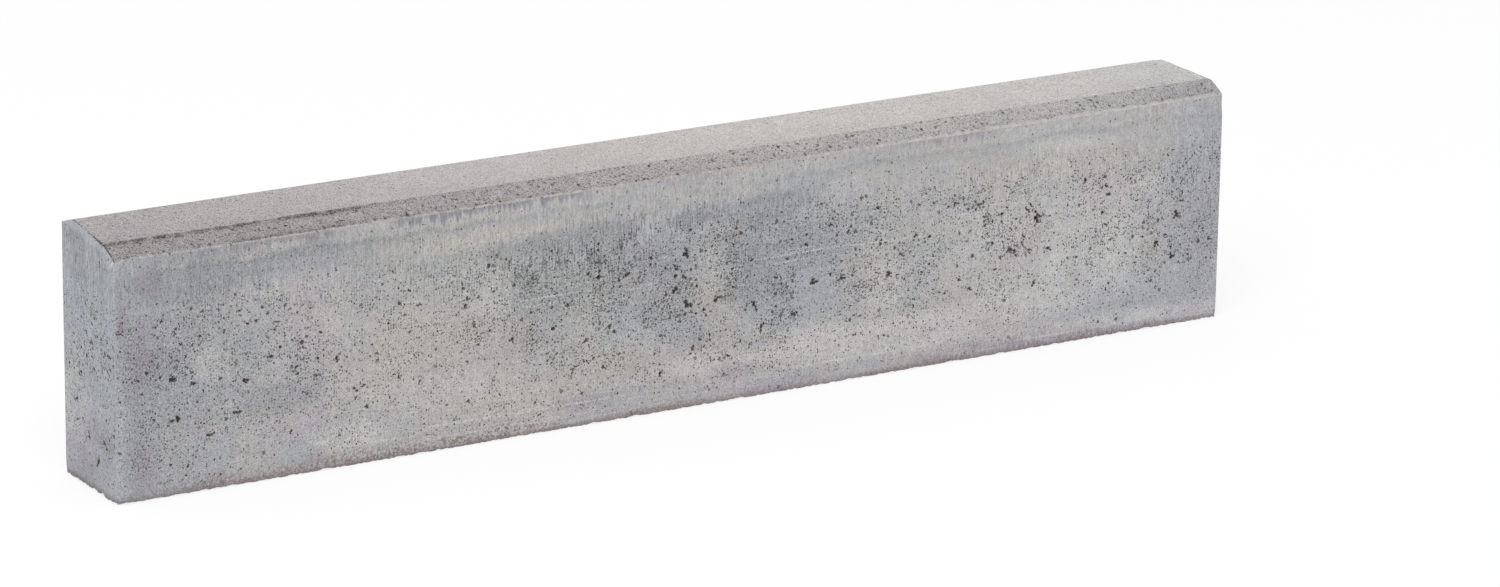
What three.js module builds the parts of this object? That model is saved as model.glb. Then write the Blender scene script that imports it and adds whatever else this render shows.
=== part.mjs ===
// Concrete kerb stone: a straight unit with a square section and one chamfered top edge.
//
// Millimetres, +Z up. The stone stands on its bed, as it is laid.
//   X  along the stone, from one butt end to the other
//   Y  through the stone, from the kerb face (-Y) to the back (+Y)
//   Z  up from the bed
// The origin is at the middle of the bed.

import * as THREE from 'three';

// Driving sizes of the stone
const LENGTH = 1000;
const THICKNESS = 90;
const HEIGHT = 200;

// The chamfer takes off the edge between the top and the kerb face. It lies flat: it runs
// further back across the top than it comes down the face.
const CHAMFER_BACK = 18;
const CHAMFER_DOWN = 8;

// The mould leaves every edge slightly blunt. These are the lengths taken off each face.
const EDGE_EASE = 1.4;
const END_EASE = 0.6;
const STEPS_PER_EDGE = 3;

// Pale grey concrete, dry and unpolished
const CONCRETE = new THREE.MeshStandardMaterial({
  color: new THREE.Color().setRGB(0.41, 0.41, 0.4),
  roughness: 0.92,
  metalness: 0,
});

// Corners of the section, in order round it. x is the stone's Y and y is its Z.
function sectionCorners() {
  const faceY = -THICKNESS / 2;
  const backY = THICKNESS / 2;
  return [
    new THREE.Vector2(faceY, 0),
    new THREE.Vector2(backY, 0),
    new THREE.Vector2(backY, HEIGHT),
    new THREE.Vector2(faceY + CHAMFER_BACK, HEIGHT),
    new THREE.Vector2(faceY, HEIGHT - CHAMFER_DOWN),
  ];
}

// A point that lies a given length from one corner, on the way to the next
function towards(corner, next, length) {
  const step = next.clone().sub(corner).setLength(length);
  return corner.clone().add(step);
}

// The outline through the corners, with each one replaced by a short curve
function easedOutline(corners, ease) {
  const outline = new THREE.Shape();
  const count = corners.length;
  corners.forEach((corner, index) => {
    const before = corners[(index + count - 1) % count];
    const after = corners[(index + 1) % count];
    const start = towards(corner, before, ease);
    const end = towards(corner, after, ease);
    if (index === 0) {
      outline.moveTo(start.x, start.y);
    } else {
      outline.lineTo(start.x, start.y);
    }
    outline.quadraticCurveTo(corner.x, corner.y, end.x, end.y);
  });
  outline.closePath();
  return outline;
}

// The section drawn out along the stone, with both butt ends eased by a narrow bevel
function makeKerbStone() {
  const section = easedOutline(sectionCorners(), EDGE_EASE);
  const geometry = new THREE.ExtrudeGeometry(section, {
    depth: LENGTH - 2 * END_EASE,
    curveSegments: STEPS_PER_EDGE,
    bevelEnabled: true,
    bevelThickness: END_EASE,
    bevelSize: END_EASE,
    bevelOffset: -END_EASE,
    bevelSegments: 1,
  });

  // The section is drawn in x and y and extruded along z. Two quarter turns lay that
  // direction along the stone's X and stand the section upright.
  geometry.translate(0, 0, END_EASE - LENGTH / 2);
  geometry.rotateX(Math.PI / 2);
  geometry.rotateZ(Math.PI / 2);

  const stone = new THREE.Mesh(geometry, CONCRETE);
  stone.name = 'kerb_stone';
  return stone;
}

const kerb = new THREE.Group();
kerb.add(makeKerbStone());

export default kerb;
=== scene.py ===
# %% [markdown]
# # A concrete kerb stone
#
# The stone is one casting of dry, stiff concrete. It is pressed in a steel mould, pushed out of it and
# left to harden. Each of its faces keeps a trace of that: the sides have fine upright drag lines from
# the mould and open air holes, the top is close and sandy from the ram, the chamfer is rough because the
# ram barely reaches it, and the foot is crumbly where the mould was left open.
#
# The lesson starts with the frame, which says how large the stone is and where it stands. All lengths
# are in metres, and MM turns a length in millimetres into one.

# %% Load the frame
import math
import random
from collections import namedtuple

import bmesh
import bpy
from mathutils import Euler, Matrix, Vector, kdtree, noise


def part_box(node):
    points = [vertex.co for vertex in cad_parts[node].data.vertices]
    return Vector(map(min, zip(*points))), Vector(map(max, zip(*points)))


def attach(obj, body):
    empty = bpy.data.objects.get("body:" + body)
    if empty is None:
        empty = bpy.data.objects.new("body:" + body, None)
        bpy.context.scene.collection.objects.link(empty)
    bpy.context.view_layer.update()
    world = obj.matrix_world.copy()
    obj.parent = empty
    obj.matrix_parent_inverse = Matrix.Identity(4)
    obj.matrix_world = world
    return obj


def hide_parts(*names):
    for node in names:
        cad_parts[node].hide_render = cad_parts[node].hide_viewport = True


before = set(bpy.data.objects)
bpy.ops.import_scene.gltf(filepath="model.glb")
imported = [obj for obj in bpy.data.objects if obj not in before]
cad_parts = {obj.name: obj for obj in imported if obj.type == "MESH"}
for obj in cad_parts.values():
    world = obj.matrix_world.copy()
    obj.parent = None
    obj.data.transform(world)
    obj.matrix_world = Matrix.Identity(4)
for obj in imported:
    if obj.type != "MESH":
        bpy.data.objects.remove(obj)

NODE = "kerb_stone"
LOW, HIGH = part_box(NODE)
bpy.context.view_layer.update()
LENGTH, THICKNESS, HEIGHT = HIGH - LOW
MM = 0.001
print(f"stone: {LENGTH / MM:.0f} x {THICKNESS / MM:.0f} x {HEIGHT / MM:.0f} mm")

# %% [markdown]
# ## Camera
#
# A long lens from well back keeps the stone's long edges nearly parallel. The camera stands in front of
# the left end and looks a little down, so the kerb face, the left end and the top all show. It is made
# first, so that everything after it can be judged through it.

# %% Place the camera
LENS_MM = 152.45
CAMERA_PLACE = Vector((-2.4089, -4.1460, 1.5621))
CAMERA_HEADING = math.radians(30.955)
CAMERA_DIP = math.radians(17.150)
CAMERA_ROLL = math.radians(0.768)


def make_camera():
    lens = bpy.data.cameras.new("camera")
    lens.lens = LENS_MM
    camera = bpy.data.objects.new("camera", lens)
    level = Euler((math.pi / 2 - CAMERA_DIP, 0, -CAMERA_HEADING)).to_matrix()
    roll = Euler((0, 0, CAMERA_ROLL)).to_matrix()
    camera.location = CAMERA_PLACE
    camera.rotation_euler = (level @ roll).to_euler()
    bpy.context.collection.objects.link(camera)
    bpy.context.scene.camera = camera
    return camera


camera = make_camera()
print("camera is", round(camera.location.length, 2), "m from the stone")

# %% [markdown]
# ## The block
#
# The stone could be drawn as a section and extruded, but then its faces would be single sheets with
# nothing to dent. It is easier to wear down a block that already has a lattice of points on each face. A
# cube is scaled to the frame's box, and its edges are cut up one direction at a time.

# %% Cut a cube into a lattice
LATTICE = 5 * MM
PARALLEL = 0.99


def lies_along(edge, axis):
    run = edge.verts[1].co - edge.verts[0].co
    return abs(run[axis]) > PARALLEL * run.length


def lattice_block():
    block = bmesh.new()
    bmesh.ops.create_cube(block, size=1.0)
    bmesh.ops.scale(block, vec=HIGH - LOW, verts=block.verts)
    bmesh.ops.translate(block, vec=(HIGH + LOW) / 2, verts=block.verts)
    for axis in range(3):
        cuts = round((HIGH - LOW)[axis] / LATTICE) - 1
        edges = [edge for edge in block.edges if lies_along(edge, axis)]
        bmesh.ops.subdivide_edges(block, edges=edges, cuts=cuts, use_grid_fill=True)
    return block


block = lattice_block()
print("lattice:", len(block.faces), "faces")

# %% [markdown]
# ## Finishes by face
#
# Five finishes meet on this stone, and each gets a material slot now, while every face of the block is
# still flat and easy to name. Faces that are cut up later keep the slot of the face that they came from.

# %% Name the faces
CHAMFER_BACK = 18 * MM
CHAMFER_DOWN = 8 * MM
CREASE_Y = LOW.y + CHAMFER_BACK
ARRIS_Z = HIGH.z - CHAMFER_DOWN
FINISHES = ["moulded", "butt", "struck", "open", "bed"]
HAIR = 0.01 * MM


def finish_of(face):
    centre = face.calc_center_median()
    if centre.z > HIGH.z - HAIR:
        return "open" if centre.y < CREASE_Y else "struck"
    if centre.z < LOW.z + HAIR:
        return "bed"
    if abs(centre.x) > HIGH.x - HAIR:
        return "butt"
    return "moulded"


for face in block.faces:
    face.material_index = FINISHES.index(finish_of(face))
slots = [face.material_index for face in block.faces]
print("faces by finish:", {name: slots.count(slot) for slot, name in enumerate(FINISHES)})

# %% [markdown]
# ## Air holes
#
# Air that is trapped against the mould leaves holes in the sides. The largest are dents that catch the
# light, so they are cut into the mesh, and the rest are left to the material. The striking ones are set
# in millimetres from the left end and from the bed, and those of the left end in millimetres from the kerb
# face.

# %% Set the striking air holes
FACE_HOLES = [
    # along, up, wide, tall
    (5, 140, 5, 3), (35, 141, 4, 4), (40, 146, 3, 4), (88, 132, 3, 2.5), (134, 130, 5, 2),
    (134, 124, 3, 4), (47, 96, 5, 5), (66, 90, 4, 5), (131, 102, 6, 4), (108, 86, 5, 5),
    (173, 115, 5, 2.5), (186, 92, 4, 5), (100, 61, 8, 4), (77, 46, 6, 4), (239, 68, 4, 3),
    (256, 125, 4, 3), (374, 87, 6, 5), (338, 84, 4, 5), (402, 71, 5, 4), (392, 50, 5, 4),
    (494, 88, 7, 6), (492, 132, 8, 6), (482, 102, 5, 6), (470, 34, 4, 5), (287, 24, 3, 3),
    (412, 137, 6, 3), (439, 122, 5, 3), (490, 113, 5, 4), (520, 89, 7, 3), (555, 80, 4, 8),
    (609, 90, 8, 5), (637, 90, 9, 4), (624, 137, 5, 4), (642, 130, 3, 5), (602, 124, 3, 4),
    (586, 114, 4, 4), (681, 87, 6, 3), (688, 85, 3, 4), (704, 116, 4, 4), (742, 139, 5, 4),
    (669, 145, 5, 3), (562, 60, 4, 7), (524, 39, 3, 2), (532, 39, 4, 2), (641, 39, 4, 2),
    (500, 52, 3, 6), (648, 39, 4, 2.5), (655, 40, 3, 2), (650, 81, 5, 2), (765, 135, 6, 3.5),
    (762, 132, 2.5, 4), (769, 136, 4, 2.5), (789, 147, 4, 2.5), (815, 127, 2.5, 4), (820, 115, 7, 6),
    (827, 117, 3.5, 3), (807, 103, 2.5, 4), (867, 142, 5, 4), (885, 141, 8, 2.5), (958, 98, 6, 6),
    (961, 110, 5, 3), (938, 76, 6, 5), (954, 61, 5, 6), (832, 87, 8, 4), (819, 58, 4, 6),
    (757, 63, 6, 3), (925, 83, 3, 4),
]
END_HOLES = [
    (60, 89, 5, 4), (68, 66, 6, 4), (24, 124, 4, 4), (30, 125, 6, 3), (13, 103, 6, 4), (9, 117, 7, 3),
    (50, 124, 4, 3), (51, 147, 3, 3), (40, 117, 5, 4), (48, 41, 4, 4), (20, 44, 4, 3),
]
print("striking holes:", len(FACE_HOLES), "on the face and", len(END_HOLES), "on the left end")

# %% [markdown]
# A hole is a centre, its half sizes and its depth. Small holes are shallow and large ones are deeper, so
# the depth follows from the smaller of the two sizes.

# %% Say what a hole is
Hole = namedtuple("Hole", "centre half deep")
THROUGH = 10 * MM
DEPTH_SHARE = 0.3
LEAST_DEPTH = 0.3 * MM


def make_hole(side, along, up, wide, tall):
    """A hole in one side. The half size that runs into the stone is long, so that it doesn't limit it."""
    deep = DEPTH_SHARE * min(wide, tall) + LEAST_DEPTH
    if side in ("face", "back"):
        y = LOW.y if side == "face" else HIGH.y
        return Hole(Vector((LOW.x + along, y, up)), Vector((wide / 2, THROUGH, tall / 2)), deep)
    x = LOW.x if side == "left" else HIGH.x
    return Hole(Vector((x, LOW.y + along, up)), Vector((THROUGH, wide / 2, tall / 2)), deep)


def half_size(hole):
    """The larger of a hole's half width and half height"""
    return max(min(hole.half.x, hole.half.y), hole.half.z)


sample = make_hole("face", 0, 0, 4 * MM, 3 * MM)
print("a hole of 4 x 3 mm is", round(sample.deep / MM, 1), "mm deep")

# %% [markdown]
# The other holes fall at random, most of them at mid height, because the ram closes the concrete near
# the top and the weight of the stone closes it near the foot. Every random number of the stone comes
# from one seeded source, so the stone is the same each time.

# %% Choose the air holes
MAIN_SHARE = 0.76
LOBE_SHARES = (0.35, 0.6)
LOBE_AWAY = 0.55
HOLE_COUNTS = {"face": 175, "back": 60, "left": 14, "right": 14}
INSIDE = (0.01, 0.99)
MID_HEIGHT, HEIGHT_SPREAD = 96 * MM, 30 * MM
LOWEST_HOLE, HIGHEST_HOLE = 24 * MM, 156 * MM
GROUP_SIZES = (1, 1, 2, 5)
GROUP_SPREADS = (3.2 * MM, 2.6 * MM)
WIDTHS = (1.3, 4.2, 1.7)
ROUNDNESS = (0.6, 1.3)
luck = random.Random(11)


def lobes(side, striking):
    """A striking hole is rarely one bubble: two smaller ones have broken into it."""
    along, up, wide, tall = (size * MM for size in striking)
    parts = [make_hole(side, along, up, MAIN_SHARE * wide, MAIN_SHARE * tall)]
    for _ in range(2):
        turn = luck.uniform(0, 2 * math.pi)
        share = luck.uniform(*LOBE_SHARES)
        aside = along + LOBE_AWAY * wide * math.cos(turn)
        above = up + LOBE_AWAY * tall * math.sin(turn)
        parts.append(make_hole(side, aside, above, share * wide, share * tall))
    return parts


def random_holes(side, run, count):
    """Holes at random along a side that is run long, some of them in loose groups"""
    found = []
    while len(found) < count:
        along = luck.uniform(*INSIDE) * run
        up = min(max(luck.gauss(MID_HEIGHT, HEIGHT_SPREAD), LOWEST_HOLE), HIGHEST_HOLE)
        for _ in range(luck.choice(GROUP_SIZES)):
            wide = luck.triangular(*WIDTHS) * MM
            tall = wide * luck.uniform(*ROUNDNESS)
            aside, above = (luck.gauss(0, spread) for spread in GROUP_SPREADS)
            found.append(make_hole(side, along + aside, up + above, wide, tall))
    return found


holes = [part for striking in FACE_HOLES for part in lobes("face", striking)]
holes += [part for striking in END_HOLES for part in lobes("left", striking)]
for side, count in HOLE_COUNTS.items():
    holes += random_holes(side, LENGTH if side in ("face", "back") else THICKNESS, count)
print(len(holes), "air holes, deepest", round(max(hole.deep for hole in holes) / MM, 1), "mm")

# %% [markdown]
# ## Finer lattice where there is detail
#
# A fine lattice all over would hold millions of faces, so only the faces that show detail are cut again:
# the sides in view and the strips along the edges once, the chamfer and the foot once more, and the faces
# at a hole once or twice more. A search tree finds the holes near a face without a look at every hole.

# %% Cut the lattice again in places
CHAMFER_STRIP = 5 * MM
EDGE_STRIP = 7 * MM
AROUND_HOLES = 2 * MM
LARGE_HOLE = 1.9 * MM
AROUND_LARGE = 0.8 * MM


def refine(wanted):
    edges = {edge for face in block.faces if wanted(face) for edge in face.edges}
    bmesh.ops.subdivide_edges(block, edges=list(edges), cuts=1, use_grid_fill=True)


def edges_near(place, reach):
    """How many faces of the block lie within reach: 1 in the open, 2 by an edge, 3 by a corner."""
    return sum(place[axis] - LOW[axis] < reach or HIGH[axis] - place[axis] < reach for axis in range(3))


def on_shown_side(face):
    centre = face.calc_center_median()
    return FINISHES[face.material_index] in ("moulded", "butt") and centre.y < HIGH.y - HAIR


def by_an_edge(face):
    return edges_near(face.calc_center_median(), EDGE_STRIP) > 1


def on_chamfer_or_foot(face):
    centre = face.calc_center_median()
    chamfer = centre.y < CREASE_Y + CHAMFER_STRIP and centre.z > HIGH.z - CHAMFER_STRIP
    foot = centre.z < EDGE_STRIP and by_an_edge(face) and centre.y < HIGH.y - HAIR
    return chamfer or foot


def tree_of(places):
    """A search tree, which finds the places near a point"""
    tree = kdtree.KDTree(len(places))
    for index, place in enumerate(places):
        tree.insert(place, index)
    tree.balance()
    return tree


def near_hole(chosen, margin):
    """A test of a face: whether it lies within the margin of one of the chosen holes"""
    tree = tree_of([hole.centre for hole in chosen])
    reach = max(half_size(hole) for hole in chosen) + margin

    def test(face):
        around = tree.find_range(face.calc_center_median(), reach)
        return any(away < half_size(chosen[index]) + margin for _, index, away in around)

    return test


refine(lambda face: on_shown_side(face) or by_an_edge(face))
refine(on_chamfer_or_foot)
refine(near_hole(holes, AROUND_HOLES))
refine(near_hole([hole for hole in holes if hole.half.z > LARGE_HOLE], AROUND_LARGE))
print("lattice:", len(block.faces), "faces")

# %% [markdown]
# ## How the stone is worn
#
# The wear could be sculpted by hand, but rules are easier to read and to change. Each point of the plain
# block gets its final place from a few short ones: the edges are rounded, the foot and the arris lose
# crumbs, the skin is lowered by its own roughness and by the holes, and the front of the top is sunk to
# form the chamfer. Nothing is built up, so the stone stays inside its box. Every rule is made of two
# helpers: one gives smooth lumps and the other a smooth step.

# %% Make lumps and steps
def lumps(place, size, seed):
    """A smooth random value, from 0 to 1, with lumps of about that size"""
    return 0.5 + 0.5 * noise.noise(place / size + Vector((seed, 1.7 * seed, 2.3 * seed)))


def step(value, start, end):
    """0 before start, 1 past end, and smooth between them. start may be the larger one."""
    share = min(max((value - start) / (end - start), 0), 1)
    return share * share * (3 - 2 * share)


samples = [lumps(Vector((tenth / 10, 0, 0)), 30 * MM, 1.0) for tenth in range(10)]
print("lumps run from", round(min(samples), 2), "to", round(max(samples), 2))

# %% [markdown]
# The mould leaves the edges nearly sharp. Handling has rounded them at the upper corners of both ends,
# most at the left one, and the foot has crumbled unevenly.

# %% Round the edges
EDGE_ROUND = 0.6 * MM
FOOT_ROUND = 1.4 * MM
FOOT_CORNER_ROUND = 2.5 * MM
LEFT_ROUND, LEFT_LUMPS = 3.0 * MM, 1.8 * MM
RIGHT_ROUND, RIGHT_LUMPS = 0.8 * MM, 2.0 * MM


def edge_radius(place):
    """How round the block's edges are at this place"""
    foot = step(place.z, 14 * MM, 4 * MM)
    crumbling = lumps(place, 4 * MM, 3.1) ** 2 + 0.7 * lumps(place, 14 * MM, 8.2) ** 3
    shoulder = step(place.z, 180 * MM, 190 * MM)
    left_end = step(place.x, LOW.x + 9 * MM, LOW.x + 5 * MM)
    right_end = step(place.x, HIGH.x - 9 * MM, HIGH.x - 5 * MM)
    face_foot = foot * step(place.y, LOW.y + 12 * MM, LOW.y + 5 * MM)
    front = 0.1 + 0.9 * step(place.y, 15 * MM, -25 * MM)
    radius = EDGE_ROUND + FOOT_ROUND * foot * crumbling
    radius += left_end * shoulder * front * (LEFT_ROUND + LEFT_LUMPS * lumps(place, 12 * MM, 5.5))
    radius += right_end * shoulder * (RIGHT_ROUND + RIGHT_LUMPS * lumps(place, 9 * MM, 6.5))
    return radius + left_end * face_foot * FOOT_CORNER_ROUND


radii = [edge_radius(Vector((x, LOW.y, HIGH.z))) for x in (LOW.x, 0, HIGH.x)]
print("the front edge of the top, left to right:", [round(each / MM, 1) for each in radii], "mm round")

# %% [markdown]
# Crumbs of two sizes have broken off the edge of the foot, and chips off the arris, where the chamfer
# meets the face.

# %% Break the foot and the arris
SMALL_CRUMB, LARGE_CRUMB = 1.3 * MM, 1.7 * MM
CHIP_DEPTH = 0.9 * MM


def foot_bite(place):
    """How far crumbs have broken off the edge of the foot, measured upwards. The ends lost more."""
    inset = min(min(place[axis] - LOW[axis], HIGH[axis] - place[axis]) for axis in (0, 1))
    end = max(step(place.x, LOW.x + 12 * MM, LOW.x), step(place.x, HIGH.x - 12 * MM, HIGH.x))
    below = Vector((place.x, place.y, 0))
    small = step(lumps(below, 2.6 * MM, 2.5), 0.42, 0.75)
    large = step(lumps(below, 9 * MM, 7.5), 0.5, 0.8)
    bite = SMALL_CRUMB * small + LARGE_CRUMB * large
    return (0.55 + 0.6 * end) * bite * step(inset, 9 * MM, 3 * MM)


def arris_chip(place):
    """How much has broken off the arris here"""
    along = Vector((place.x, 0, 0))
    small = step(lumps(along, 5 * MM, 15.5), 0.55, 0.8)
    large = step(lumps(along, 16 * MM, 16.5), 0.58, 0.75)
    near = step(place.y, LOW.y + 5 * MM, LOW.y + 1 * MM) * step(place.z, HIGH.z - 5 * MM, HIGH.z - 1 * MM)
    return CHIP_DEPTH * (small + 0.8 * large) * near


chips = [arris_chip(Vector((index / 200 * HIGH.x, LOW.y, HIGH.z))) for index in range(-200, 201)]
print("chips along the arris are up to", round(max(chips) / MM, 2), "mm deep")

# %% [markdown]
# Each finish has its own skin: the chamfer is rough, the top nearly flat, the bed coarse, and the sides
# wave gently. The front of the top sinks in a straight slope from the crease down to the arris.

# %% Lower the skin and sink the chamfer
def skin_depth(place, finish):
    """How far the skin lies under the block's face"""
    if finish == "open":
        ridge = step(place.y, LOW.y + 2.0 * MM, LOW.y + 0.4 * MM)
        rough = 0.15 + 0.6 * lumps(place, 3 * MM, 1.3) + 0.5 * lumps(place, 8 * MM, 2.3) ** 2
        return (1 - ridge) * rough * MM
    if finish == "struck":
        return 0.15 * MM * lumps(place, 25 * MM, 9.1)
    if finish == "bed":
        return (0.1 + 0.9 * lumps(place, 7 * MM, 4.4) ** 2) * MM
    foot = step(place.z, 7 * MM, 2 * MM)
    paste = step(place.z, 199.6 * MM, 198 * MM)
    waves = 0.2 + 0.25 * lumps(place, 60 * MM, 7.7)
    return (paste * waves + foot * 0.8 * lumps(place, 2.6 * MM, 5.9)) * MM


def chamfer_drop(place):
    """How far the top is sunk at this place. The crease wavers a little along the stone."""
    crease = CREASE_Y + 1.2 * MM * (lumps(place, 30 * MM, 2.9) - 0.5)
    share = max(crease - place.y, 0) / CHAMFER_BACK
    return CHAMFER_DOWN * min(share, 1)


print("the arris lies", round(chamfer_drop(Vector((0, LOW.y, HIGH.z))) / MM, 1), "mm under the top")

# %% [markdown]
# A hole is a bowl with a ragged rim. How far each point lies inside a hole is kept, because the material
# darkens the holes with it later.

# %% Carve the holes
HOLE_REACH = 1.6


def hole_shape(place, hole):
    """1 at the bottom of a hole and 0 outside it, with a ragged rim"""
    offset, half = place - hole.centre, hole.half
    away = Vector((offset.x / half.x, offset.y / half.y, offset.z / half.z)).length
    away *= 0.62 + 0.76 * lumps(place, 1.6 * MM, 12.5)
    return step(away, 1.1, 0.6)


homes = [vert.co.copy() for vert in block.verts]
carved = [0.0] * len(homes)
hollow = [0.0] * len(homes)
points = tree_of(homes)
for hole in holes:
    for place, index, _ in points.find_range(hole.centre, HOLE_REACH * half_size(hole)):
        shape = hole_shape(place, hole)
        carved[index] = max(carved[index], hole.deep * shape)
        hollow[index] = max(hollow[index], shape)
print("deepest hole:", round(max(carved) / MM, 2), "mm")

# %% [markdown]
# Now the rules come together. A point moves in from the block's face towards the core of its rounded
# edge, and then it is lifted off the bed or sunk with the chamfer.

# %% Wear the block
def worn(place, finish, depth):
    radius = edge_radius(place)
    core = Vector(
        min(max(place[axis], LOW[axis] + radius), HIGH[axis] - radius) for axis in range(3)
    )
    outward = (place - core).normalized()
    result = core + outward * (radius - skin_depth(place, finish) - depth - arris_chip(place))
    result.z += foot_bite(place) * step(result.z, 9 * MM, 0)
    result.z -= chamfer_drop(place) * result.z / HEIGHT
    return result


for home, depth, vert in zip(homes, carved, block.verts):
    meeting = [FINISHES[face.material_index] for face in vert.link_faces]
    vert.co = worn(home, min(meeting, key=FINISHES.index), depth)
print("lowest point:", round(min(vert.co.z for vert in block.verts) / MM, 3), "mm")
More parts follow.
